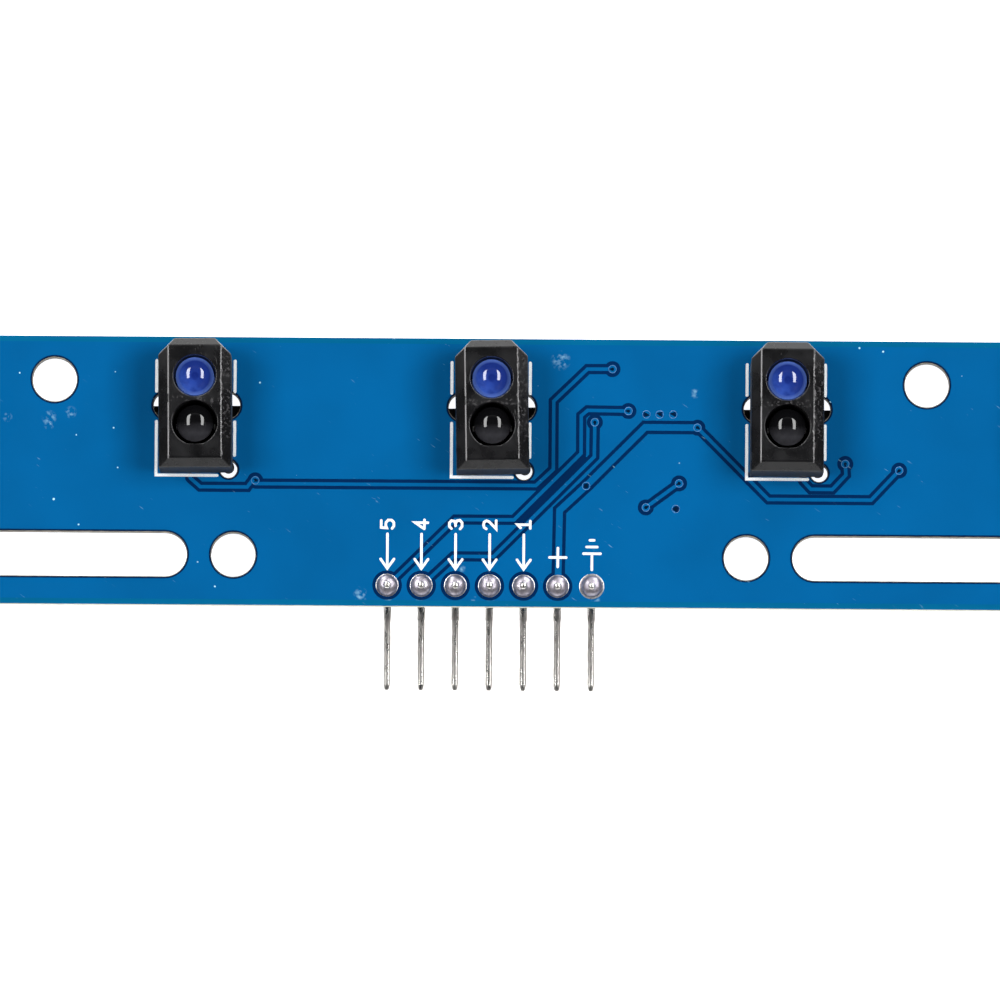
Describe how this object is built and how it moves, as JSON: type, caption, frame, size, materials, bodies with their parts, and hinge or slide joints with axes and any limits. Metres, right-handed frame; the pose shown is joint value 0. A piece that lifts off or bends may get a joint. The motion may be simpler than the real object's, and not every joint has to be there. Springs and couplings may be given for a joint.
{
  "type": "line follower robot sensor bar",
  "caption": "Long blue circuit board with reflective infrared line sensors in a row, screw holes, adjusting slots and a right-angle pin header: the eyes of a line follower robot.",
  "frame": {"origin": "bottom centre of the bounding box: under the middle of the part, at the level of the undersides of the header pins", "axes": "+X along the board, +Y from the header pins towards the row of sensors, +Z out of the sensor side of the board"},
  "size_m": [0.1, 0.026, 0.0124],
  "materials": {
    "solder_mask_blue": "glossy blue solder mask over copper and glass-epoxy laminate",
    "sensor_housing_black": "satin moulded black plastic, scuffed edges",
    "emitter_blue_epoxy": "clear royal-blue epoxy lens",
    "detector_black_epoxy": "polished black epoxy lens",
    "header_plastic_black": "satin black moulded plastic",
    "tinned_pins": "tinned square wire, lightly drawn",
    "ic_package_black": "fine-grained black epoxy with tinned leads",
    "resistor_film_black": "black glazed film on white ceramic, tinned ends",
    "capacitor_ceramic_tan": "bare tan ceramic, tinned ends",
    "indicator_clear_epoxy": "clear epoxy over a white base"
  },
  "bodies": {
    "root": {"circuit_board": "solder_mask_blue", "sensor_1_housing": "sensor_housing_black", "sensor_1_emitter": "emitter_blue_epoxy", "sensor_1_detector": "detector_black_epoxy", "sensor_2_housing": "sensor_housing_black", "sensor_2_emitter": "emitter_blue_epoxy", "sensor_2_detector": "detector_black_epoxy", "sensor_3_housing": "sensor_housing_black", "sensor_3_emitter": "emitter_blue_epoxy", "sensor_3_detector": "detector_black_epoxy", "sensor_4_housing": "sensor_housing_black", "sensor_4_emitter": "emitter_blue_epoxy", "sensor_4_detector": "detector_black_epoxy", "sensor_5_housing": "sensor_housing_black", "sensor_5_emitter": "emitter_blue_epoxy", "sensor_5_detector": "detector_black_epoxy", "header_block": "header_plastic_black", "header_pin_1": "tinned_pins", "header_pin_2": "tinned_pins", "header_pin_3": "tinned_pins", "header_pin_4": "tinned_pins", "header_pin_5": "tinned_pins", "header_pin_6": "tinned_pins", "header_pin_7": "tinned_pins", "logic_ic": "ic_package_black", "resistor_1a": "resistor_film_black", "resistor_1b": "resistor_film_black", "resistor_1c": "resistor_film_black", "indicator_light_1": "indicator_clear_epoxy", "resistor_2a": "resistor_film_black", "resistor_2b": "resistor_film_black", "resistor_2c": "resistor_film_black", "indicator_light_2": "indicator_clear_epoxy", "resistor_3a": "resistor_film_black", "resistor_3b": "resistor_film_black", "resistor_3c": "resistor_film_black", "indicator_light_3": "indicator_clear_epoxy", "resistor_4a": "resistor_film_black", "resistor_4b": "resistor_film_black", "resistor_4c": "resistor_film_black", "indicator_light_4": "indicator_clear_epoxy", "resistor_5a": "resistor_film_black", "resistor_5b": "resistor_film_black", "resistor_5c": "resistor_film_black", "indicator_light_5": "indicator_clear_epoxy", "filter_capacitor": "capacitor_ceramic_tan", "supply_capacitor": "capacitor_ceramic_tan"}
  },
  "joints": []
}
